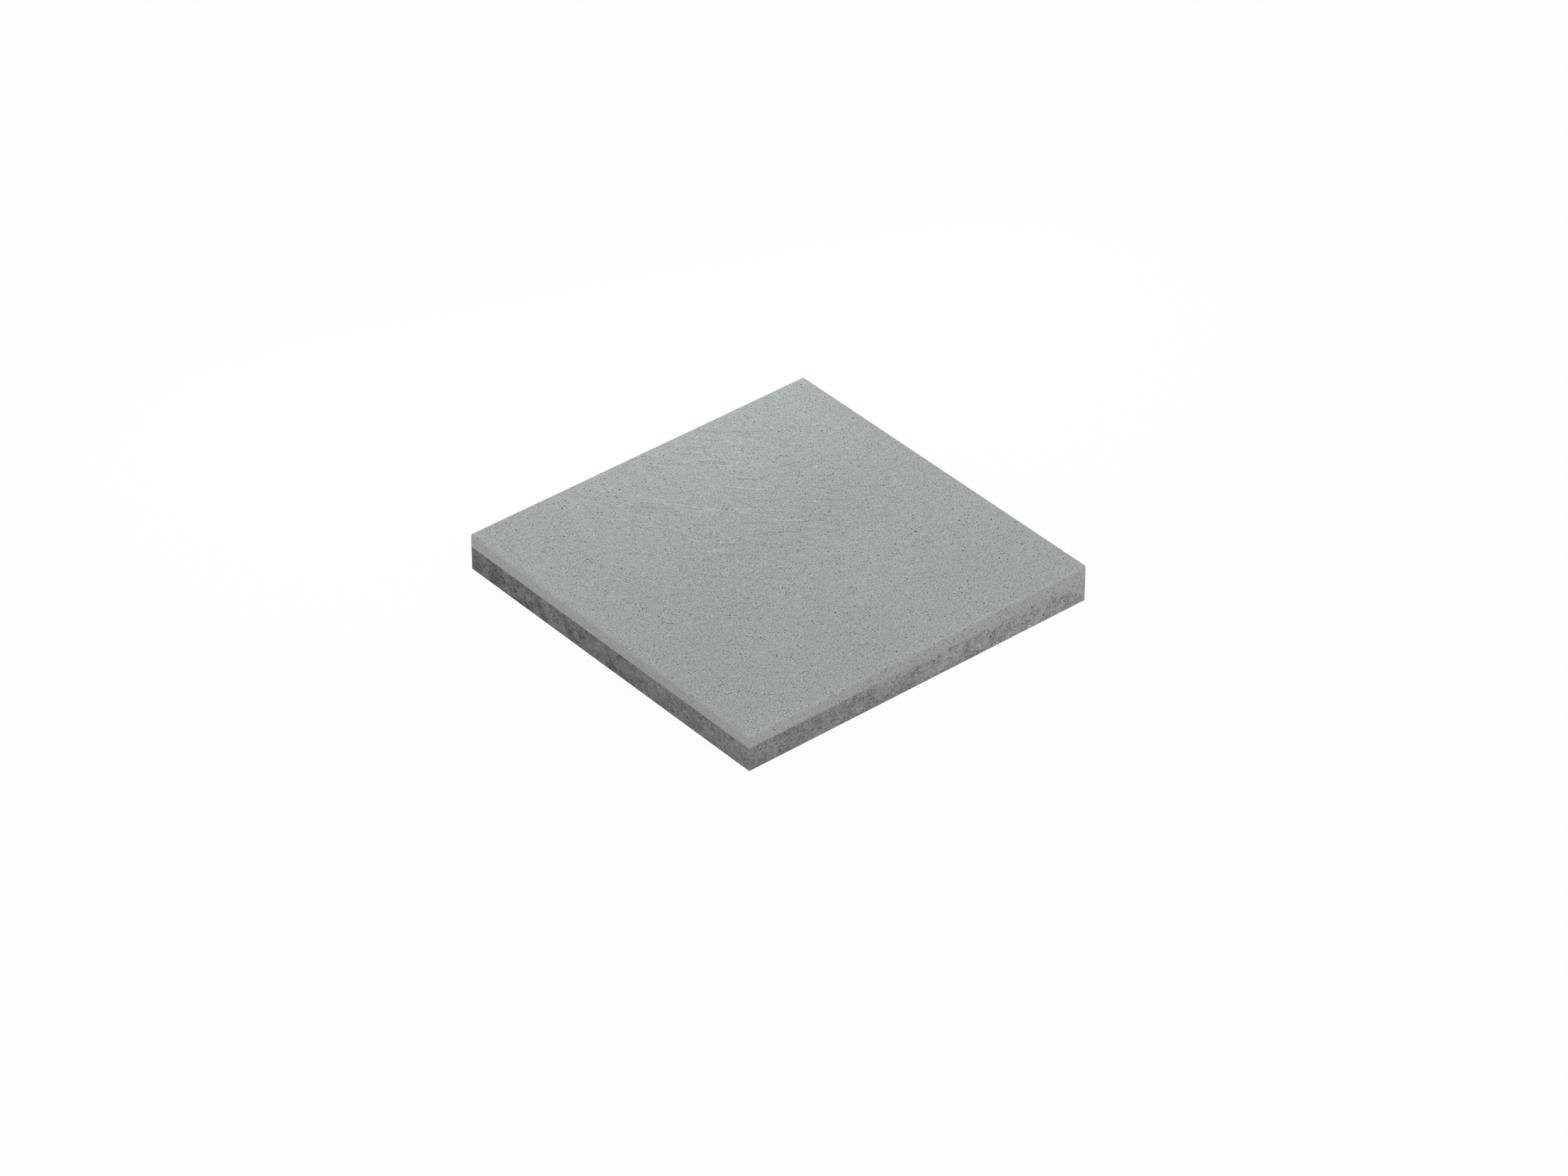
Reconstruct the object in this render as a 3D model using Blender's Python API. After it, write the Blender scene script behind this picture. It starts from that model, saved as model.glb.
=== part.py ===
"""A square concrete paving slab, pressed in two layers.

A fine facing layer with a rounded upper edge is bonded to a coarse backing layer. The slab lies flat:
+Z is up, and the origin is the centre of the underside.
"""
import math

import bmesh
import bpy
from mathutils import Vector

# Driving dimensions, in metres.
SLAB_LENGTH = 0.400  # along X
SLAB_WIDTH = 0.400  # along Y
SLAB_THICKNESS = 0.040
BACKING_THICKNESS = 0.025  # underside to the straight line between the layers
ARRIS_WIDTH = 0.0018  # of the facing's rounded upper edge, over the wearing face
ARRIS_HEIGHT = 0.0034  # of the same edge, down the side
CORNER_RADIUS = 0.0003  # upright corners, in plan
FOOT_CHAMFER = 0.0003  # broken edge round the underside

# The bond: shallow waves where the two mixes were pressed into each other, level along the slab's edges.
BOND_CLEARANCE = 0.0003
BOND_WAVE_HEIGHT = 0.0012  # the most that a crest rises, or a trough falls, from the level line
BOND_WAVE_LENGTH = 0.070
BOND_LEVEL_STRIP = 0.030  # width along each edge over which the waves die out
BOND_CELL = 0.010  # spacing of the points that follow the waves
BOND_WAVE_HEADINGS = (math.radians(18), math.radians(77), math.radians(139))

# Steps in each rounded edge, and the bevel shape that is an arc.
ROUND_PROFILE = 0.5
ARRIS_STEPS = 6
CORNER_STEPS = 2

# Finishes: colour (linear), roughness.
FACING_COLOUR = (0.36, 0.375, 0.38, 1.0)
FACING_ROUGHNESS = 0.85
BACKING_COLOUR = (0.20, 0.20, 0.20, 1.0)
BACKING_ROUGHNESS = 0.95

UP = Vector((0, 0, 1))
SHARP_EDGE_ANGLE = math.radians(35)
SQUARE_WITHIN = math.radians(5)  # how far a level face may lean
SAME_WITHIN = 1e-6  # two places closer than this are one


def clear_scene():
    for thing in list(bpy.data.objects):
        bpy.data.objects.remove(thing, do_unlink=True)


def smooth_step(value):
    value = min(max(value, 0.0), 1.0)
    return value * value * (3 - 2 * value)


def bond_wave(x, y):
    """Rise of the bond over the line between the layers, at one point of the plan."""
    to_edge = min(SLAB_LENGTH / 2 - abs(x), SLAB_WIDTH / 2 - abs(y))
    turns = 2 * math.pi / BOND_WAVE_LENGTH
    waves = [math.sin(turns * (x * math.cos(h) + y * math.sin(h))) for h in BOND_WAVE_HEADINGS]
    return BOND_WAVE_HEIGHT * smooth_step(to_edge / BOND_LEVEL_STRIP) * sum(waves) / len(waves)


def bond_sheet():
    """The wavy bond as an open sheet of triangles, which both layers take their bonded face from."""
    sheet = bmesh.new()
    cells_x = max(1, round(SLAB_LENGTH / BOND_CELL))
    cells_y = max(1, round(SLAB_WIDTH / BOND_CELL))
    bmesh.ops.create_grid(sheet, x_segments=cells_x, y_segments=cells_y, size=SLAB_LENGTH / 2)
    for vert in sheet.verts:
        vert.co.y *= SLAB_WIDTH / SLAB_LENGTH
        vert.co.z = bond_wave(vert.co.x, vert.co.y)
    bmesh.ops.triangulate(sheet, faces=sheet.faces[:], quad_method="FIXED")
    return sheet


def extrude_to_level(sheet, level):
    """Close the sheet into a body that ends in one flat face at the given height."""
    grown = bmesh.ops.extrude_face_region(sheet, geom=sheet.faces[:])["geom"]
    far_verts = {item for item in grown if isinstance(item, bmesh.types.BMVert)}
    for vert in far_verts:
        vert.co.z = level
    far_faces = [face for face in sheet.faces if far_verts.issuperset(face.verts)]
    bmesh.ops.dissolve_faces(sheet, faces=far_faces)
    bmesh.ops.recalc_face_normals(sheet, faces=sheet.faces[:])


def corner_edges(body, rim_width):
    """The edges where two sides meet: upright, and then along the mitre of the rim."""
    def at_corner(vert):
        from_x = SLAB_LENGTH / 2 - abs(vert.co.x)
        from_y = SLAB_WIDTH / 2 - abs(vert.co.y)
        return abs(from_x - from_y) < SAME_WITHIN and from_x < rim_width + SAME_WITHIN

    chosen = []
    for edge in body.edges:
        one, other = edge.verts
        climbs = abs(one.co.z - other.co.z) > SAME_WITHIN
        if climbs and at_corner(one) and at_corner(other):
            chosen.append(edge)
    return chosen


def rim_of_level_face(body, direction):
    """The edges round the one large flat face that looks straight up or straight down."""
    level_faces = [face for face in body.faces if face.normal.angle(direction) < SQUARE_WITHIN]
    largest = max(level_faces, key=lambda face: face.calc_area())
    return list(largest.edges)


def round_edges(body, edges, radius, steps):
    bmesh.ops.bevel(
        body, geom=edges, offset=radius, offset_type="OFFSET", segments=steps,
        profile=ROUND_PROFILE, affect="EDGES", clamp_overlap=True,
    )


def round_arris(body, level):
    """Round the upper rim to a quarter ellipse: an arc of the arris width, drawn down to the arris height."""
    round_edges(body, rim_of_level_face(body, UP), ARRIS_WIDTH, ARRIS_STEPS)
    for vert in body.verts:
        drop = level - vert.co.z
        if drop < ARRIS_WIDTH + SAME_WITHIN:
            vert.co.z = level - drop * ARRIS_HEIGHT / ARRIS_WIDTH


def make_material(name, colour, roughness):
    material = bpy.data.materials.new(name)
    material.use_nodes = True
    shader = material.node_tree.nodes["Principled BSDF"]
    shader.inputs["Base Color"].default_value = colour
    shader.inputs["Roughness"].default_value = roughness
    shader.inputs["Metallic"].default_value = 0.0
    material.diffuse_color = colour
    return material


def make_object(name, body, material, parent, height):
    bmesh.ops.recalc_face_normals(body, faces=body.faces[:])
    mesh = bpy.data.meshes.new(name)
    body.to_mesh(mesh)
    body.free()
    mesh.shade_smooth()
    mesh.set_sharp_from_angle(angle=SHARP_EDGE_ANGLE)
    mesh.materials.append(material)
    thing = bpy.data.objects.new(name, mesh)
    bpy.context.scene.collection.objects.link(thing)
    thing.parent = parent
    thing.location.z = height
    return thing


def make_backing_layer(parent):
    """The coarse core: nearly sharp corners, a broken lower edge and a bonded upper face."""
    body = bond_sheet()
    extrude_to_level(body, -BACKING_THICKNESS)
    round_edges(body, rim_of_level_face(body, -UP), FOOT_CHAMFER, 1)
    round_edges(body, corner_edges(body, FOOT_CHAMFER), CORNER_RADIUS, CORNER_STEPS)
    material = make_material("backing_concrete", BACKING_COLOUR, BACKING_ROUGHNESS)
    return make_object("backing_layer", body, material, parent, BACKING_THICKNESS)


def make_facing_layer(parent):
    """The wearing layer: nearly sharp corners and a rounded arris over a bonded lower face."""
    seat = BACKING_THICKNESS + BOND_CLEARANCE
    level = SLAB_THICKNESS - seat
    body = bond_sheet()
    extrude_to_level(body, level)
    round_arris(body, level)
    round_edges(body, corner_edges(body, ARRIS_WIDTH), CORNER_RADIUS, CORNER_STEPS)
    material = make_material("facing_concrete", FACING_COLOUR, FACING_ROUGHNESS)
    return make_object("facing_layer", body, material, parent, seat)


def main():
    clear_scene()
    slab = bpy.data.objects.new("slab", None)
    bpy.context.scene.collection.objects.link(slab)
    make_backing_layer(slab)
    make_facing_layer(slab)


main()
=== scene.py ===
"""Looks of a square two-layer concrete paving slab: surface relief, air pores, colours, light and view."""
import math
import random
from typing import NamedTuple

import bpy
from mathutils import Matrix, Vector, noise


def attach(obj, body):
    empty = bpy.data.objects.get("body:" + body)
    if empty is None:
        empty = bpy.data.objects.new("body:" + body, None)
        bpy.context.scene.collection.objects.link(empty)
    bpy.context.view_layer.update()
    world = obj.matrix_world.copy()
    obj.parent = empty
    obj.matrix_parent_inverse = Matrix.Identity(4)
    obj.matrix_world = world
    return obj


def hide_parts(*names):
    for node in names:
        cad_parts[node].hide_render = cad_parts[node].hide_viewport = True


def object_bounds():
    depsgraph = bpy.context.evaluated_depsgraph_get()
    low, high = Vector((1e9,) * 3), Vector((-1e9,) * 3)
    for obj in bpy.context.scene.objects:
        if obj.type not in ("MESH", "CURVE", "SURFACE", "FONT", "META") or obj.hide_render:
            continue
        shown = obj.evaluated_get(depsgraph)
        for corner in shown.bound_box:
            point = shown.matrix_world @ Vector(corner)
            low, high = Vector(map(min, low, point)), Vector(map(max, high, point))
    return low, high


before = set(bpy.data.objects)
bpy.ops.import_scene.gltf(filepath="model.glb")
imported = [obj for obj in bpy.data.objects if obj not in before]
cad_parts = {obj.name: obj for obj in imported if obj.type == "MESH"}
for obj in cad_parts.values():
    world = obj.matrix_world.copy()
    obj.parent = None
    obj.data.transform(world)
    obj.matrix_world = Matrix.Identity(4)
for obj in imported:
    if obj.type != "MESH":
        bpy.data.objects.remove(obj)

cad_low, cad_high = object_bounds()
MM = 0.001
QUARTER_TURN = math.pi / 2

# Sizes of the slab, in metres, from its solids.
HALF = (cad_high.x - cad_low.x) / 2
TOP = cad_high.z
LAYER_LINE = 25 * MM  # height of the straight line between the layers
LAYER_SEAM = 0.02 * MM  # how far the two skins stand apart at that line

# Rounded edges: width over the open face, height down the side, steps. The upright corners are nearly sharp.
ARRIS = {"width": 1.8 * MM, "height": 3.4 * MM, "steps": 6}
FOOT = {"width": 0.2 * MM, "height": 0.2 * MM, "steps": 2}
CORNER_RADIUS = 0.2 * MM
CORNER_STEPS = 3

CELL = 2 * MM  # spacing of the points that carry the relief
CRISP_ANGLE = math.radians(38)  # edges that turn by more are shaded as edges

# The slate relief of the wearing face runs along bent split lines. It is clearest round one place, and dies
# out towards the arris.
CLEFT_HEADING = math.radians(-40)
CLEFT_BEND_RADIUS = 540 * MM
CLEFT_LENGTH = 60 * MM
CLEFT_WIDTH = 7 * MM
CLEFT_HEIGHT = 0.15 * MM
CLEFT_SHARPNESS = 4  # the power that narrows a ridge
CLEFT_MIDDLE = Vector((35 * MM, 90 * MM, TOP))  # where the split lines are at their clearest
CLEFT_CLEAR = 30 * MM  # from there, how far they stay as clear
CLEFT_FAINT = 190 * MM  # from there, where they are at their faintest
CLEFT_LEAST = 0.2  # how clear they still are there
SWELL_LENGTH = 90 * MM
SWELL_NARROWING = 2  # how many times shorter a swell is across the split lines
SWELL_HEIGHT = 0.18 * MM
RELIEF_PATCH = 70 * MM  # size of the areas with more and with fewer ridges
RELIEF_PATCH_CONTRAST = 1.6
RELIEF_MARGIN = 9 * MM
NOISE_LEVELS = {"swell": 3.1, "ridge": 7.7, "patch": 1.4}  # keep the three from following one another

# Roughness of the sides and the underside, always cut inwards so that the edges stay straight.
ROUGH_LENGTH = 9 * MM
ROUGH_DEPTH = 0.10 * MM
ROUGH_MARGIN = 3 * MM

# Air pores in the mesh: share of the cells that hold one, usual radius, its spread, depth over radius.
TOP_PORES = {"share": 0.044, "radius": 0.43 * MM, "spread": 0.36, "depth": 1.1}
FACING_SIDE_PORES = {"share": 0.02, "radius": 0.40 * MM, "spread": 0.25, "depth": 0.9}
BACKING_SIDE_PORES = {"share": 0.06, "radius": 0.55 * MM, "spread": 0.30, "depth": 1.0}
UNDERSIDE_PORES = {"share": 0.05, "radius": 0.55 * MM, "spread": 0.30, "depth": 0.9}
PORE_ROOM = 0.42  # of a cell, the largest radius
PORE_RIM_POINTS = 8
PORE_RAGGEDNESS = 0.18
PORE_DEPTH_RANGE = (0.7, 1.2)  # times the usual depth
PORE_WALL = 0.74  # of the radius, where the wall turns into the bowl
PORE_WALL_DEPTH = 0.62  # of the depth
# The pore depths also darken the colour in the materials: painted shade in the pores, darkest at the bottom.
PORE_WALL_PAINTED_SHADE = 0.9  # how dark the wall is drawn, where the bottom is 1
PORE_FREE_CELLS = 3  # cells along the arris that hold no pore
PORE_SEED = 17

# Zones of a layer's skin, and the layout of its flat map.
SIDES = range(4)
OPEN_FACE = 4
BONDED_FACE = 5
MAP_NAME = "OFBake"
MAP_MARGIN = 0.006
MAP_MARGINS = 7  # above, below and between the open face and the strips of the sides
BONDED_MAP_SIZE = 0.05

# Shared textures: contrast of their noise, share of pale grains, and grains for each grain size.
PATCH_CONTRAST = 12.0
SKIN_CONTRAST = 9.0
GRAIN_CONTRAST = 1.4
PALE_SHARE = 0.05
GRAINS_PER_SIZE = 1.3

# Fine pores, which are drawn and not cut: a round mask that the materials darken as painted shade, and that
# also sets a bump. Their rim and their bottom are in radii.
DRAWN_PORE = {"scatter": 0.9, "least_size": 0.5, "rim": 1.0, "bottom": 0.45, "least_depth": 0.4}
FINE_TOP_PORES = {"spacing": 3.0 * MM, "share": 0.7, "radius": 0.52 * MM}
FINE_FACING_SIDE_PORES = {"spacing": 1.8 * MM, "share": 0.7, "radius": 0.54 * MM}
FINE_BACKING_PORES = {"spacing": 3.2 * MM, "share": 0.45, "radius": 0.6 * MM}

# Facing: linear colours, and where the wearing face's finish and its texture end.
WEARING_FACE_COLOUR = (0.343, 0.366, 0.372, 1)
FACING_SIDE_COLOUR = (0.305, 0.312, 0.320, 1)
FINISH_LINE = 35 * MM  # height of the finish's lower end on the sides
FINISH_FADE = 3 * MM
FINISH_PATCH = 4 * MM
FINISH_RAGGEDNESS = 0.7 * MM
LEVEL_TEXTURE = {"start": TOP - 1.4 * MM, "end": TOP - 0.6 * MM}

# Facing: textures, most of them drawn out along the split lines by a stretch.
# The streaks are painted light and shade: a painted highlight on one side of each small step and a painted
# shadow on the other. They also go into the bump.
STREAKS = {"stretch": 10.0, "patch_size": 8 * MM, "detail": 0.0}
STREAK_SHARPNESS = 1.3
STREAK_BREAKS = {"stretch": 4.5, "patch_size": 7 * MM, "detail": 1.0}
STREAK_SHOWN = {"start": 0.1, "end": 1.1}
STREAK_REACH = {"start": CLEFT_FAINT, "end": CLEFT_CLEAR, "low": CLEFT_LEAST, "high": 1.0}
THIN_FIBRES = {"stretch": 5.0, "grain_size": 1.5 * MM}
BROAD_FIBRES = {"stretch": 5.5, "patch_size": 3.2 * MM, "detail": 1.0}
FIBRE_REACH = {"start": 300 * MM, "end": 120 * MM, "low": 0.5, "high": 1.0}
CLOUD_SIZE = 140 * MM
SPOT_SIZE = 2.2 * MM
SPOT_STRENGTH = {"low": 4.0, "high": 0.3}  # on the sides, and on the wearing face
SIDE_GRAIN_SIZE = 0.85 * MM
SIDE_GRAIN_STRENGTH = 0.65
LEVEL_GRAIN = {"stretch": 2.4, "grain_size": 0.62 * MM}
COARSENESS = {"start": -HALF, "end": HALF, "low": 1.05, "high": 0.95}  # along Y
CALM_AREAS = {"stretch": 2.0, "patch_size": 7 * MM, "detail": 1.0}
CALM_STRENGTH = 0.11

# Facing: what each texture adds to the tone, to the roughness and, in millimetres, to the height.
FIBRE_TONE = {"thin": 0.040, "broad": 0.006}
FACING_TONE = {"cloud": 0.015, "streak": 0.37, "fibres": 1.0, "spots": 0.010, "grain": 0.145, "pale": 0.46}
# How much darker the pores are painted: painted shade in them.
FACING_PORE_PAINTED_SHADE = 0.86
FACING_ROUGHNESS = 0.84
FACING_ROUGHENING = {"grain": 0.03, "pores": 0.1}
FACING_BUMP = {"grain": 0.10, "streak": 0.06, "pores": -0.25}

# Backing: tones and strengths that change along the run from the left corner of the view to the right one.
LEFT_TONE = {"start": -240 * MM, "end": 80 * MM, "low": 0.128, "high": 0.182}
RIGHT_TONE = {"start": 0.0, "end": 400 * MM, "low": 0.0, "high": 0.090}
FIELD_STRENGTH = {"start": -50 * MM, "end": -350 * MM, "low": 1.0, "high": 1.7}
MOTTLING_STRENGTH = {"start": -300 * MM, "end": 50 * MM, "low": 1.22, "high": 1.0}
OVERRUN_SHOWN = {"start": 20 * MM, "end": 220 * MM}

# Backing: textures, and the facing mix that ran over the line.
FIELD_SIZE = 13 * MM
BLOT_SIZE = 3.5 * MM
BACKING_GRAIN_SIZE = 0.7 * MM
STONE_SIZE = 6 * MM
STONE_EDGE = {"start": 0.4, "end": 1.4}
STONE_GRAIN = {"low": 1.12, "high": 0.30}  # strength of the grain off a stone, and on it
OVERRUN_PATCH = 9 * MM
OVERRUN_RAGGEDNESS = 3 * MM
OVERRUN_HEIGHTS = {"start": 18 * MM, "end": 24 * MM}
OVERRUN_TONE = 0.32
OVERRUN_GRAIN = 0.05
OVERRUN_COVER = 0.75

# Backing: what each texture adds to the tone, to the roughness and, in millimetres, to the height.
MOTTLING_OFFSET = -0.03  # takes off what stones and pale grains add on the whole
BACKING_MOTTLING = {"fields": 0.085, "blots": 0.10, "stones": 0.10, "grain": 0.30, "pale": 0.45}
# How much darker the pores are painted: painted shade in them.
BACKING_PORE_PAINTED_SHADE = 0.6
BACKING_ROUGHNESS = 0.93
BACKING_ROUGHENING = {"grain": 0.02, "blots": 0.01}
BACKING_BUMP = {"grain": 0.2, "blots": 0.05, "pores": -0.35}

# Studio: light from a white world and three soft lamps, in metres and watts, over a white floor.
WHITE = (1, 1, 1, 1)
WORLD_LIGHT = 0.84
LAMPS = {
    "back_lamp": {"place": (0.17, 0.44, 0.20), "width": 0.8, "depth": 0.15, "power": 0.86},
    "left_lamp": {"place": (-2.6, -0.6, 0.5), "width": 1.5, "depth": 1.0, "power": 8.0},
    "right_lamp": {"place": (0.3, -2.6, 0.5), "width": 1.5, "depth": 1.0, "power": 10.2},
}
FLOOR_COLOUR = (0.92, 0.92, 0.92, 1)
FLOOR_GLOW = 0.95  # share of plain white, where the rest shows the shadow
FLOOR_REACH = 30.0
FLOOR_DROP = 0.1 * MM

# Camera, as the photograph was taken.
VIEW_HEADING = math.radians(40)
VIEW_TILT = math.radians(36)
VIEW_DISTANCE = 6.0106
VIEW_ASIDE = 6.15 * MM
VIEW_UP = -3.38 * MM
VIEW_LENS = 150  # mm
VIEW_FRAME = 36  # mm
VIEW_REACH = 100.0


# Shapes

class Stop(NamedTuple):
    """One place on a layer's outline, with its column and row in the grid of the open face."""

    core_point: Vector
    way_out: Vector  # of length 1 along a side, and longer towards a corner
    side: int
    column: int
    row: int


class Skin:
    """The closed skin of one layer: points, how deep in a pore each lies, and faces by zone."""

    def __init__(self, name, sense):
        self.name = name
        self.sense = sense  # 1 where the open face looks up, -1 where it looks down
        self.points = []
        self.pore_depths = []
        self.faces = []
        self.zones = []

    def point(self, place, pore_depth=0.0):
        self.points.append(Vector(place))
        self.pore_depths.append(pore_depth)
        return len(self.points) - 1

    def face(self, zone, *corners):
        self.faces.append(corners if self.sense > 0 else corners[::-1])
        self.zones.append(zone)


def smooth_step(value):
    value = min(max(value, 0.0), 1.0)
    return value * value * (3 - 2 * value)


def rotated(flat, angle):
    return Vector((
        flat.x * math.cos(angle) - flat.y * math.sin(angle),
        flat.x * math.sin(angle) + flat.y * math.cos(angle),
    ))


def slate_relief(x, y):
    """How far the wearing face lies under its level plane: swells, and ridges along the split lines."""
    turned = rotated(Vector((x, y)), -CLEFT_HEADING)
    along, across = turned.x, turned.y - turned.x ** 2 / (2 * CLEFT_BEND_RADIUS)
    swell_spot = along / SWELL_LENGTH, across / SWELL_LENGTH * SWELL_NARROWING, NOISE_LEVELS["swell"]
    ridge_spot = along / CLEFT_LENGTH, across / CLEFT_WIDTH, NOISE_LEVELS["ridge"]
    patch_spot = x / RELIEF_PATCH, y / RELIEF_PATCH, NOISE_LEVELS["patch"]
    dip = 1 - (1 - abs(noise.noise(ridge_spot))) ** CLEFT_SHARPNESS
    away = (Vector((x, y, TOP)) - CLEFT_MIDDLE).length
    clear = CLEFT_LEAST + (1 - CLEFT_LEAST) * smooth_step((CLEFT_FAINT - away) / (CLEFT_FAINT - CLEFT_CLEAR))
    shown = clear * smooth_step(0.5 + RELIEF_PATCH_CONTRAST * noise.noise(patch_spot))
    fade = smooth_step((HALF - ARRIS["width"] - max(abs(x), abs(y))) / RELIEF_MARGIN)
    return fade * (SWELL_HEIGHT * (1 - noise.noise(swell_spot)) + CLEFT_HEIGHT * shown * dip)


def rough_relief(place, to_edge):
    """How far a point of a side or of the underside stands back from its plane."""
    rough = 0.5 + 0.5 * noise.noise(place / ROUGH_LENGTH)
    return ROUGH_DEPTH * rough * smooth_step(to_edge / ROUGH_MARGIN)


def underside_relief(x, y):
    return rough_relief(Vector((x, y, 0)), HALF - FOOT["width"] - max(abs(x), abs(y)))


def square_outline(core, cells, width):
    """The stops round a square core, counter-clockwise."""
    grid_corners = ((0, 0), (cells, 0), (cells, cells), (0, cells))
    bend = min(CORNER_RADIUS / width, 1)
    corner_ways = []
    for step in range(CORNER_STEPS + 1):
        angle = step / CORNER_STEPS * QUARTER_TURN
        corner_ways.append(Vector((1 - bend + bend * math.sin(angle), bend - 1 - bend * math.cos(angle))))
    stops = []
    for side in SIDES:
        start, end = grid_corners[side], grid_corners[(side + 1) % len(SIDES)]
        for step in range(cells + 1 + len(corner_ways)):
            run = min(step, cells)
            column, row = (a + (b - a) * run // cells for a, b in zip(start, end))
            core_point = Vector((2 * core * column / cells - core, 2 * core * row / cells - core))
            way_out = Vector((0, -1)) if step <= cells else corner_ways[step - cells - 1]
            stops.append(Stop(core_point, rotated(way_out, side * QUARTER_TURN), side, column, row))
    return stops


def sink_pore(skin, zone, corners, pores, draw):
    """Fill a four-cornered cell with a pore, its ragged rim, steep wall and bowl, and the skin round it."""
    spots = [skin.points[corner] for corner in corners]
    along = (spots[1] - spots[0] + spots[2] - spots[3]) / 2
    up = (spots[3] - spots[0] + spots[2] - spots[1]) / 2
    widest = PORE_ROOM * min(along.length, up.length)
    along.normalize()
    up.normalize()
    inwards = up.cross(along) * skin.sense
    radius = min(pores["radius"] * draw.lognormvariate(0, pores["spread"]), widest)
    depth = radius * pores["depth"] * draw.uniform(*PORE_DEPTH_RANGE)
    shift = widest - radius
    middle = sum(spots, Vector()) / len(spots)
    middle += along * draw.uniform(-shift, shift)
    middle += up * draw.uniform(-shift, shift)
    rim, wall = [], []
    for step in range(PORE_RIM_POINTS):
        angle = 2 * math.pi * step / PORE_RIM_POINTS
        reach = radius * draw.uniform(1 - PORE_RAGGEDNESS, 1 + PORE_RAGGEDNESS)
        spoke = along * (reach * math.cos(angle)) + up * (reach * math.sin(angle))
        rim.append(skin.point(middle + spoke))
        foot = middle + spoke * PORE_WALL + inwards * depth * PORE_WALL_DEPTH
        wall.append(skin.point(foot, PORE_WALL_PAINTED_SHADE))
    bottom = skin.point(middle + inwards * depth, 1.0)
    for step in range(PORE_RIM_POINTS):
        after = (step + 1) % PORE_RIM_POINTS
        skin.face(zone, rim[step], rim[after], wall[after], wall[step])
        skin.face(zone, wall[step], wall[after], bottom)
    # Each corner of the cell faces the rim point on its own diagonal and the two beside it.
    for quarter in range(4):
        corner = corners[(quarter + 2) % 4]
        next_corner = corners[(quarter + 3) % 4]
        before, own, after = (rim[(2 * quarter + turn) % PORE_RIM_POINTS] for turn in range(3))
        skin.face(zone, corner, own, before)
        skin.face(zone, corner, after, own)
        skin.face(zone, corner, next_corner, after)


def fill_cell(skin, zone, corners, pores, draw):
    if pores and draw.random() < pores["share"]:
        sink_pore(skin, zone, corners, pores, draw)
    else:
        skin.face(zone, *corners)


def side_rings(skin, outline, core, edge, bond_height, face_height):
    """Rings of points from the bonded face along the sides, then round the edge, and the count of rows."""
    wall_height = abs(face_height - bond_height) - edge["height"]
    rows = round(wall_height / CELL)
    rings = []
    for row in range(rows + 1):
        rise = wall_height * row / rows
        ring = []
        for stop in outline:
            flat = stop.core_point + stop.way_out * edge["width"]
            place = Vector((flat.x, flat.y, bond_height + skin.sense * rise))
            to_corner = core - min(abs(stop.core_point.x), abs(stop.core_point.y))
            back = rough_relief(place, min(rise, wall_height - rise, to_corner))
            ring.append(skin.point(place - stop.way_out.to_3d() * back))
        rings.append(ring)
    for step in range(1, edge["steps"]):
        lean = step / edge["steps"] * QUARTER_TURN
        height = face_height - skin.sense * edge["height"] * (1 - math.sin(lean))
        ring = []
        for stop in outline:
            flat = stop.core_point + stop.way_out * edge["width"] * math.cos(lean)
            ring.append(skin.point((flat.x, flat.y, height)))
        rings.append(ring)
    return rings, rows


def face_grid(skin, core, cells, face_height, relief):
    """The points of the open face, row by row."""
    spots = [2 * core * step / cells - core for step in range(cells + 1)]
    return [[skin.point((x, y, face_height - skin.sense * relief(x, y))) for x in spots] for y in spots]


def make_skin(name, bond_height, face_height, edge, relief, side_pores, face_pores):
    """One layer's skin: its bonded face, its upright sides, a rounded edge and its open face."""
    skin = Skin(name, 1 if face_height > bond_height else -1)
    draw = random.Random(f"{PORE_SEED} {name}")
    core = HALF - edge["width"]
    cells = round(2 * core / CELL)
    outline = square_outline(core, cells, edge["width"])
    rings, rows = side_rings(skin, outline, core, edge, bond_height, face_height)
    grid = face_grid(skin, core, cells, face_height, relief)
    rings.append([grid[stop.row][stop.column] for stop in outline])

    skin.face(BONDED_FACE, *rings[0][::-1])
    for level, (ring, upper) in enumerate(zip(rings, rings[1:])):
        pores = side_pores if 0 < level < rows - 1 else None
        for step, stop in enumerate(outline):
            after = (step + 1) % len(outline)
            corners = (ring[step], ring[after], upper[after], upper[step])
            if upper[after] == upper[step]:
                skin.face(stop.side, *corners[:3])
            elif stop.way_out == outline[after].way_out:
                fill_cell(skin, stop.side, corners, pores, draw)
            else:
                skin.face(stop.side, *corners)
    inner = range(PORE_FREE_CELLS, cells - PORE_FREE_CELLS)
    for row in range(cells):
        for column in range(cells):
            near, far = grid[row], grid[row + 1]
            corners = (near[column], near[column + 1], far[column + 1], far[column])
            pores = face_pores if row in inner and column in inner else None
            fill_cell(skin, OPEN_FACE, corners, pores, draw)
    return skin


def map_place(place, zone, density, strip_height, edge_start):
    """A point's place on the layer's flat map: the open face below, and a strip above it for each side."""
    if zone == BONDED_FACE:
        scale = BONDED_MAP_SIZE / (2 * HALF)
        corner = 1 - MAP_MARGIN - BONDED_MAP_SIZE
        return corner + (place.x + HALF) * scale, corner + (place.y + HALF) * scale
    if zone == OPEN_FACE:
        return MAP_MARGIN + (place.x + HALF) * density, MAP_MARGIN + (place.y + HALF) * density
    flat = rotated(place.to_2d(), -zone * QUARTER_TURN)
    height = abs(place.z - LAYER_LINE)
    past_edge = max(HALF + flat.y, 0) if height > edge_start else 0
    strip = (zone + 2) * MAP_MARGIN + (2 * HALF + zone * strip_height) * density
    return MAP_MARGIN + (flat.x + HALF) * density, strip + (height + past_edge) * density


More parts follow.
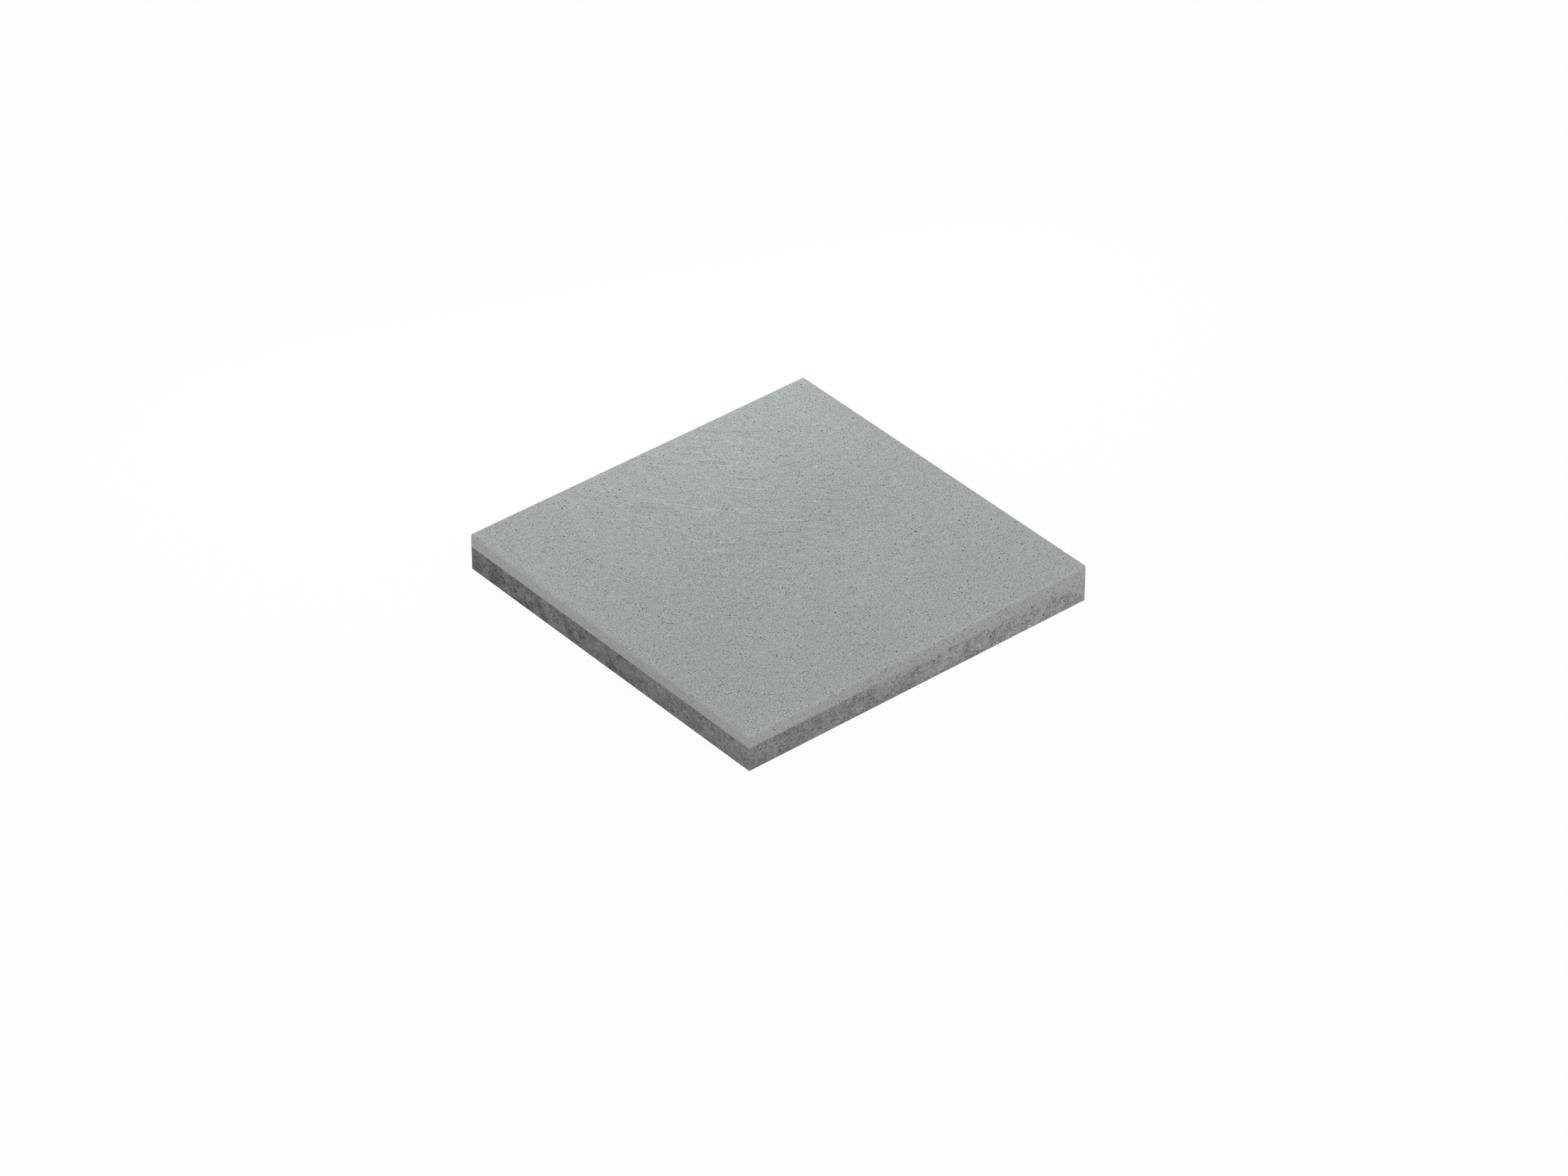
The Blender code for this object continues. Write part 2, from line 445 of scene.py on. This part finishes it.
def make_piece(skin, face_height, edge, material):
    """A mesh object of the skin, with its pore depths, its flat map and crisp pore rims."""
    mesh = bpy.data.meshes.new(skin.name)
    mesh.from_pydata(skin.points, [], skin.faces)
    depths = mesh.attributes.new("pore_depth", "FLOAT", "POINT")
    depths.data.foreach_set("value", skin.pore_depths)

    layer_height = abs(face_height - LAYER_LINE)
    strip_height = layer_height + edge["width"]
    density = (1 - MAP_MARGINS * MAP_MARGIN) / (2 * HALF + len(SIDES) * strip_height)
    places = []
    for zone, corners in zip(skin.zones, skin.faces):
        for corner in corners:
            spot = skin.points[corner]
            places.extend(map_place(spot, zone, density, strip_height, layer_height - edge["height"]))
    mesh.uv_layers.new(name=MAP_NAME).uv.foreach_set("vector", places)

    mesh.shade_smooth()
    mesh.set_sharp_from_angle(angle=CRISP_ANGLE)
    mesh.materials.append(material)
    piece = bpy.data.objects.new(skin.name, mesh)
    bpy.context.scene.collection.objects.link(piece)
    return piece


# Materials

def feed(tree, socket, value):
    """Give a socket a number, a colour or another node's output."""
    if isinstance(value, bpy.types.NodeSocket):
        tree.links.new(value, socket)
    else:
        socket.default_value = value


def put(tree, kind, inputs=(), **options):
    """Add a node, set its options and feed its inputs."""
    node = tree.nodes.new("ShaderNode" + kind)
    for name, value in options.items():
        setattr(node, name, value)
    for key, value in dict(inputs).items():
        feed(tree, node.inputs[key], value)
    return node


def calc(tree, operation, *terms):
    return put(tree, "Math", enumerate(terms), operation=operation).outputs[0]


def product(tree, value, *factors):
    for factor in factors:
        value = calc(tree, "MULTIPLY", value, factor)
    return value


def sum_of(tree, start, weights, **values):
    """Start plus each value times its weight."""
    total = start
    for name, weight in weights.items():
        total = calc(tree, "MULTIPLY_ADD", values[name], weight, total)
    return total


def centred(tree, value, contrast):
    """A value from 0 to 1, moved to lie round 0 and spread by the contrast."""
    return calc(tree, "MULTIPLY_ADD", value, contrast, -contrast / 2)


def darkened(tree, tone, mask, shade):
    """A tone that loses a share of itself where the mask is 1."""
    return product(tree, tone, calc(tree, "MULTIPLY_ADD", mask, -shade, 1.0))


def ramp(tree, value, start=0.0, end=1.0, low=0.0, high=1.0):
    """A smooth change from low to high, while the value goes from start to end."""
    levels = {"Value": value, "From Min": start, "From Max": end, "To Min": low, "To Max": high}
    return put(tree, "MapRange", levels, interpolation_type="SMOOTHSTEP").outputs["Result"]


def blend(tree, share, first, second):
    """From the first value to the second, by the share."""
    return put(tree, "Mix", {0: share, 2: first, 3: second}).outputs[0]


def blend_colours(tree, share, first, second):
    return put(tree, "Mix", {0: share, 6: first, 7: second}, data_type="RGBA").outputs[2]


def tinted(tree, colour, tone):
    return put(tree, "VectorMath", {0: colour, "Scale": tone}, operation="SCALE").outputs[0]


def parts_of(tree, place):
    """The X, Y and Z of a place."""
    return put(tree, "SeparateXYZ", {0: place}).outputs


def make_group(name, inputs, outputs):
    """An empty node group, with its named inputs and outputs."""
    group = bpy.data.node_groups.new(name, "ShaderNodeTree")
    for label, kind in inputs.items():
        group.interface.new_socket(label, in_out="INPUT", socket_type="NodeSocket" + kind)
    for label in outputs:
        group.interface.new_socket(label, in_out="OUTPUT", socket_type="NodeSocketFloat")
    return group, group.nodes.new("NodeGroupInput").outputs, group.nodes.new("NodeGroupOutput").inputs


def use(tree, group, **inputs):
    """Place a node group in a material, with its own values."""
    node = put(tree, "Group", node_tree=group)
    for label, value in inputs.items():
        feed(tree, node.inputs[label.replace("_", " ").title()], value)
    return node.outputs


def make_patchy_tone():
    """Soft lighter and darker patches of one size, as a shade that is mostly between -1 and 1."""
    inputs = {"Place": "Vector", "Patch Size": "Float", "Detail": "Float"}
    group, given, result = make_group("patchy_tone", inputs, ["Shade"])
    scale = calc(group, "DIVIDE", 1.0, given["Patch Size"])
    levels = {"Vector": given["Place"], "Scale": scale, "Detail": given["Detail"], "Roughness": 0.5}
    cloud = put(group, "TexNoise", levels)
    group.links.new(centred(group, cloud.outputs["Fac"], PATCH_CONTRAST), result["Shade"])
    return group


def make_sand_grain(name, dimensions):
    """Sand in the cement skin: a shade mostly between -1 and 1, a few pale grains, and a height.

    With two dimensions the grains are spread evenly over a level face, and with three they suit any face.
    """
    inputs = {"Place": "Vector", "Grain Size": "Float"}
    group, given, result = make_group(name, inputs, ["Shade", "Pale", "Height"])
    scale = calc(group, "DIVIDE", 1.0, given["Grain Size"])
    levels = {"Vector": given["Place"], "Scale": scale, "Detail": 1.0, "Roughness": 0.6}
    skin = put(group, "TexNoise", levels, noise_dimensions=dimensions)
    levels = {"Vector": given["Place"], "Scale": product(group, scale, GRAINS_PER_SIZE)}
    grains = put(group, "TexVoronoi", levels, voronoi_dimensions=dimensions)
    chance = put(group, "SeparateColor", {0: grains.outputs["Color"]}).outputs
    skin_part = centred(group, skin.outputs["Fac"], SKIN_CONTRAST)
    grain_part = centred(group, chance[0], GRAIN_CONTRAST)
    group.links.new(calc(group, "ADD", skin_part, grain_part), result["Shade"])
    group.links.new(calc(group, "GREATER_THAN", chance[1], 1 - PALE_SHARE), result["Pale"])
    group.links.new(calc(group, "SUBTRACT", 1.0, grains.outputs["Distance"]), result["Height"])
    return group


def make_air_pores(name, dimensions):
    """Small round pores, drawn as a mask of their depth, and joined with the pores cut into the mesh. The
    materials darken the colour by this mask: painted shade in the pores.

    The dimensions are as for the sand grain.
    """
    inputs = {"Place": "Vector", "Spacing": "Float", "Share": "Float", "Radius": "Float"}
    group, given, result = make_group(name, inputs, ["Depth"])
    scale = calc(group, "DIVIDE", 1.0, given["Spacing"])
    levels = {"Vector": given["Place"], "Scale": scale, "Randomness": DRAWN_PORE["scatter"]}
    cells = put(group, "TexVoronoi", levels, voronoi_dimensions=dimensions)
    chance = put(group, "SeparateColor", {0: cells.outputs["Color"]}).outputs
    there = calc(group, "LESS_THAN", chance[0], given["Share"])
    size = calc(group, "ADD", chance[1], DRAWN_PORE["least_size"])
    least_depth = DRAWN_PORE["least_depth"]
    how_deep = calc(group, "MULTIPLY_ADD", chance[2], 1 - least_depth, least_depth)
    distance = product(group, cells.outputs["Distance"], given["Spacing"])
    in_radii = calc(group, "DIVIDE", distance, product(group, given["Radius"], size))
    drawn = product(group, ramp(group, in_radii, DRAWN_PORE["rim"], DRAWN_PORE["bottom"]), there, how_deep)
    cut = put(group, "Attribute", attribute_name="pore_depth", attribute_type="GEOMETRY").outputs["Fac"]
    group.links.new(calc(group, "MAXIMUM", drawn, cut), result["Depth"])
    return group


def new_material(name):
    """An empty material: its tree, its shader, and the place of a point in metres."""
    material = bpy.data.materials.new(name)
    material.use_nodes = True
    tree = material.node_tree
    place = put(tree, "TexCoord").outputs["Object"]
    return material, tree, tree.nodes["Principled BSDF"], place


def set_bump(tree, shader, height):
    """Fine relief in the shading, from a height in millimetres."""
    bump = put(tree, "Bump", {"Height": height, "Distance": MM, "Strength": 1.0})
    tree.links.new(bump.outputs["Normal"], shader.inputs["Normal"])


def along_slate(tree, place, stretch):
    """A point's place with the slate's bent split lines laid straight, and drawn out along them."""
    turned = put(tree, "VectorRotate", {"Vector": place, "Angle": -CLEFT_HEADING}, rotation_type="Z_AXIS")
    axes = parts_of(tree, turned.outputs[0])
    bend = product(tree, axes[0], axes[0], -0.5 / CLEFT_BEND_RADIUS)
    parts = {0: calc(tree, "DIVIDE", axes[0], stretch), 1: calc(tree, "ADD", axes[1], bend), 2: axes[2]}
    return put(tree, "CombineXYZ", parts).outputs[0]


def patches(tree, patchy_tone, place, patch_size, detail=2.0):
    return use(tree, patchy_tone, place=place, patch_size=patch_size, detail=detail)["Shade"]


def slate_patches(tree, patchy_tone, place, stretch, patch_size, detail):
    return patches(tree, patchy_tone, along_slate(tree, place, stretch), patch_size, detail)


def slate_grain(tree, sand_grain, place, stretch, grain_size):
    return use(tree, sand_grain, place=along_slate(tree, place, stretch), grain_size=grain_size)


def slate_streaks(tree, patchy_tone, place, away):
    """Thin broken steps, with a painted highlight on one side and painted shade on the other, clearest round
    one place.
    """
    layers = slate_patches(tree, patchy_tone, place, **STREAKS)
    from_step = product(tree, layers, STREAK_SHARPNESS)
    narrow = calc(tree, "EXPONENT", product(tree, from_step, from_step, -1.0))
    broken = slate_patches(tree, patchy_tone, place, **STREAK_BREAKS)
    return product(
        tree, from_step, narrow, ramp(tree, broken, **STREAK_SHOWN), ramp(tree, away, **STREAK_REACH),
    )


def slate_fibres(tree, patchy_tone, sand_grain, place, away):
    """Thin and broader fibres along the split lines, which reach further than the streaks."""
    thin = slate_grain(tree, sand_grain, place, **THIN_FIBRES)["Shade"]
    broad = slate_patches(tree, patchy_tone, place, **BROAD_FIBRES)
    tone = sum_of(tree, 0.0, FIBRE_TONE, thin=thin, broad=broad)
    return product(tree, tone, ramp(tree, away, **FIBRE_REACH))


def make_facing_concrete(patchy_tone, sand_grain, air_pores, level_sand_grain, level_air_pores):
    """Fine light grey facing: slightly green on the wearing face, plainer and darker on its sides."""
    material, tree, shader, place = new_material("facing_concrete")
    y, height = parts_of(tree, place)[1:]

    # The wearing face's finish ends in a ragged line below the arris.
    ragged = patches(tree, patchy_tone, place, FINISH_PATCH)
    ragged_height = calc(tree, "MULTIPLY_ADD", ragged, FINISH_RAGGEDNESS, height)
    on_top = ramp(tree, ragged_height, FINISH_LINE, FINISH_LINE + FINISH_FADE)
    colour = blend_colours(tree, on_top, FACING_SIDE_COLOUR, WEARING_FACE_COLOUR)

    away = put(tree, "VectorMath", {0: place, 1: CLEFT_MIDDLE}, operation="DISTANCE").outputs["Value"]
    # Painted light and shade along the small steps, which also give the bump its steps.
    streak = product(tree, slate_streaks(tree, patchy_tone, place, away), on_top)
    fibres = product(tree, slate_fibres(tree, patchy_tone, level_sand_grain, place, away), on_top)
    cloud = patches(tree, patchy_tone, place, CLOUD_SIZE)
    spots = product(tree, patches(tree, patchy_tone, place, SPOT_SIZE), ramp(tree, on_top, **SPOT_STRENGTH))

    # Grain and pores of the sides, and those of the wearing face, stronger towards the front and in areas.
    on_level = ramp(tree, height, **LEVEL_TEXTURE)
    upright = use(tree, sand_grain, place=place, grain_size=SIDE_GRAIN_SIZE)
    level = slate_grain(tree, level_sand_grain, place, **LEVEL_GRAIN)
    upright_pores = use(tree, air_pores, place=place, **FINE_FACING_SIDE_PORES)["Depth"]
    level_pores = use(tree, level_air_pores, place=place, **FINE_TOP_PORES)["Depth"]
    areas = slate_patches(tree, patchy_tone, place, **CALM_AREAS)
    coarseness = calc(tree, "MULTIPLY_ADD", areas, CALM_STRENGTH, ramp(tree, y, **COARSENESS))
    grain = blend(tree, on_level, product(tree, upright["Shade"], SIDE_GRAIN_STRENGTH), level["Shade"])
    grain = product(tree, grain, coarseness)
    grain_height = blend(tree, on_level, upright["Height"], level["Height"])
    pale = product(tree, level["Pale"], on_level)
    pores = product(tree, blend(tree, on_level, upright_pores, level_pores), coarseness)

    tone = sum_of(
        tree, 1.0, FACING_TONE,
        cloud=cloud, streak=streak, fibres=fibres, spots=spots, grain=grain, pale=pale,
    )
    # Painted shade: the pores, cut and drawn, are coloured darker than the skin round them.
    tone = darkened(tree, tone, pores, FACING_PORE_PAINTED_SHADE)
    roughness = sum_of(tree, FACING_ROUGHNESS, FACING_ROUGHENING, grain=grain, pores=pores)
    tree.links.new(tinted(tree, colour, tone), shader.inputs["Base Color"])
    tree.links.new(roughness, shader.inputs["Roughness"])
    set_bump(tree, shader, sum_of(tree, 0.0, FACING_BUMP, grain=grain_height, streak=streak, pores=pores))
    return material


def make_backing_concrete(patchy_tone, sand_grain, air_pores):
    """Coarse neutral grey backing: mottled, lighter towards the right corner, with pale grains and pores."""
    material, tree, shader, place = new_material("backing_concrete")
    x, y, height = parts_of(tree, place)

    # The tone changes from the left corner of the view, past the front one, to the right one.
    run = calc(tree, "SUBTRACT", x, y)
    tone = calc(tree, "ADD", ramp(tree, run, **LEFT_TONE), ramp(tree, run, **RIGHT_TONE))
    fields = product(tree, patches(tree, patchy_tone, place, FIELD_SIZE), ramp(tree, run, **FIELD_STRENGTH))
    blots = patches(tree, patchy_tone, place, BLOT_SIZE)
    sand = use(tree, sand_grain, place=place, grain_size=BACKING_GRAIN_SIZE)
    pores = use(tree, air_pores, place=place, **FINE_BACKING_PORES)["Depth"]
    # Smooth faces of larger stones lie among the sand, with hardly any grain of their own.
    stones = ramp(tree, patches(tree, patchy_tone, place, STONE_SIZE, detail=1.0), **STONE_EDGE)
    grain = product(tree, sand["Shade"], ramp(tree, stones, **STONE_GRAIN))
    mottling = sum_of(
        tree, MOTTLING_OFFSET, BACKING_MOTTLING,
        fields=fields, blots=blots, stones=stones, grain=grain, pale=sand["Pale"],
    )
    mottling = product(tree, mottling, ramp(tree, run, **MOTTLING_STRENGTH))
    tone = product(tree, tone, calc(tree, "ADD", mottling, 1.0))

    # Pale blotches of facing mix that ran over the line, towards the right corner.
    blotches = patches(tree, patchy_tone, place, OVERRUN_PATCH)
    ragged = calc(tree, "MULTIPLY_ADD", blotches, OVERRUN_RAGGEDNESS, height)
    smear = product(tree, ramp(tree, ragged, **OVERRUN_HEIGHTS), ramp(tree, run, **OVERRUN_SHOWN))
    paler = calc(tree, "MULTIPLY_ADD", sand["Shade"], OVERRUN_GRAIN, OVERRUN_TONE)
    tone = blend(tree, product(tree, smear, OVERRUN_COVER), tone, paler)

    # Painted shade: the pores, cut and drawn, are coloured darker than the skin round them.
    tone = darkened(tree, tone, pores, BACKING_PORE_PAINTED_SHADE)
    colour = put(tree, "CombineXYZ", {0: tone, 1: tone, 2: tone}).outputs[0]
    roughness = sum_of(tree, BACKING_ROUGHNESS, BACKING_ROUGHENING, grain=grain, blots=blots)
    tree.links.new(colour, shader.inputs["Base Color"])
    tree.links.new(roughness, shader.inputs["Roughness"])
    set_bump(tree, shader, sum_of(tree, 0.0, BACKING_BUMP, grain=sand["Height"], blots=blots, pores=pores))
    return material


# Studio

def seen_or_mirrored(tree):
    """1 for rays from the camera, off a mirror or through glass, which should meet the white background."""
    rays = put(tree, "LightPath").outputs
    return calc(
        tree, "MAXIMUM", rays["Is Camera Ray"],
        calc(tree, "MAXIMUM", rays["Is Glossy Ray"], rays["Is Transmission Ray"]),
    )


def make_floor():
    """A wide white floor, which keeps a faint shadow of the slab."""
    mesh = bpy.data.meshes.new("floor")
    reach = FLOOR_REACH
    corners = [(-reach, -reach, 0), (reach, -reach, 0), (reach, reach, 0), (-reach, reach, 0)]
    mesh.from_pydata(corners, [], [(0, 1, 2, 3)])
    floor = bpy.data.objects.new("floor", mesh)
    floor.location.z = -FLOOR_DROP
    bpy.context.scene.collection.objects.link(floor)
    material = bpy.data.materials.new("white_floor")
    material.use_nodes = True
    tree = material.node_tree
    shader = tree.nodes["Principled BSDF"]
    shader.inputs["Base Color"].default_value = FLOOR_COLOUR
    shader.inputs["Roughness"].default_value = 1.0
    glow = put(tree, "Emission", {"Color": WHITE, "Strength": 1.0})
    share = product(tree, seen_or_mirrored(tree), FLOOR_GLOW)
    both = put(tree, "MixShader", {0: share, 1: shader.outputs[0], 2: glow.outputs[0]})
    tree.links.new(both.outputs[0], tree.nodes["Material Output"].inputs["Surface"])
    mesh.materials.append(material)


def make_world():
    """White light from all round, which is plain white where the camera sees it."""
    world = bpy.data.worlds.new("studio")
    world.use_nodes = True
    tree = world.node_tree
    background = tree.nodes["Background"]
    background.inputs["Color"].default_value = WHITE
    level = calc(tree, "MAXIMUM", seen_or_mirrored(tree), WORLD_LIGHT)
    tree.links.new(level, background.inputs["Strength"])
    bpy.context.scene.world = world


def make_lamp(name, place, width, depth, power):
    """A soft lamp that looks at the slab, and isn't seen itself."""
    lamp = bpy.data.lights.new(name, "AREA")
    lamp.shape = "RECTANGLE"
    lamp.size = width
    lamp.size_y = depth
    lamp.energy = power
    holder = bpy.data.objects.new(name, lamp)
    holder.visible_camera = False
    holder.location = place
    holder.rotation_euler = (-Vector(place)).to_track_quat("-Z", "Y").to_euler()
    bpy.context.scene.collection.objects.link(holder)


def make_camera():
    forward = Vector((
        math.sin(VIEW_HEADING) * math.cos(VIEW_TILT),
        math.cos(VIEW_HEADING) * math.cos(VIEW_TILT),
        -math.sin(VIEW_TILT),
    ))
    right = Vector((math.cos(VIEW_HEADING), -math.sin(VIEW_HEADING), 0))
    lens = bpy.data.cameras.new("view")
    lens.sensor_width = VIEW_FRAME
    lens.sensor_fit = "HORIZONTAL"
    lens.lens = VIEW_LENS
    lens.clip_end = VIEW_REACH
    camera = bpy.data.objects.new("view", lens)
    camera.location = right * VIEW_ASIDE + right.cross(forward) * VIEW_UP - forward * VIEW_DISTANCE
    camera.rotation_euler = forward.to_track_quat("-Z", "Y").to_euler()
    bpy.context.scene.collection.objects.link(camera)
    bpy.context.scene.camera = camera


def dress(name, node, material, bond_height, face_height, edge, relief, side_pores, face_pores):
    """Make one layer's skin in place of its solid."""
    skin = make_skin(name, bond_height, face_height, edge, relief, side_pores, face_pores)
    piece = make_piece(skin, face_height, edge, material)
    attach(piece, "root")
    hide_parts(node)


def main():
    bpy.context.scene.view_settings.view_transform = "Standard"
    make_camera()
    make_floor()
    make_world()
    for name, lamp in LAMPS.items():
        make_lamp(name, **lamp)
    shared = make_patchy_tone(), make_sand_grain("sand_grain", "3D"), make_air_pores("air_pores", "3D")
    level = make_sand_grain("level_sand_grain", "2D"), make_air_pores("level_air_pores", "2D")
    dress(
        "facing", "facing_layer", make_facing_concrete(*shared, *level),
        LAYER_LINE + LAYER_SEAM, TOP, ARRIS, slate_relief, FACING_SIDE_PORES, TOP_PORES,
    )
    dress(
        "backing", "backing_layer", make_backing_concrete(*shared),
        LAYER_LINE, 0.0, FOOT, underside_relief, BACKING_SIDE_PORES, UNDERSIDE_PORES,
    )


main()
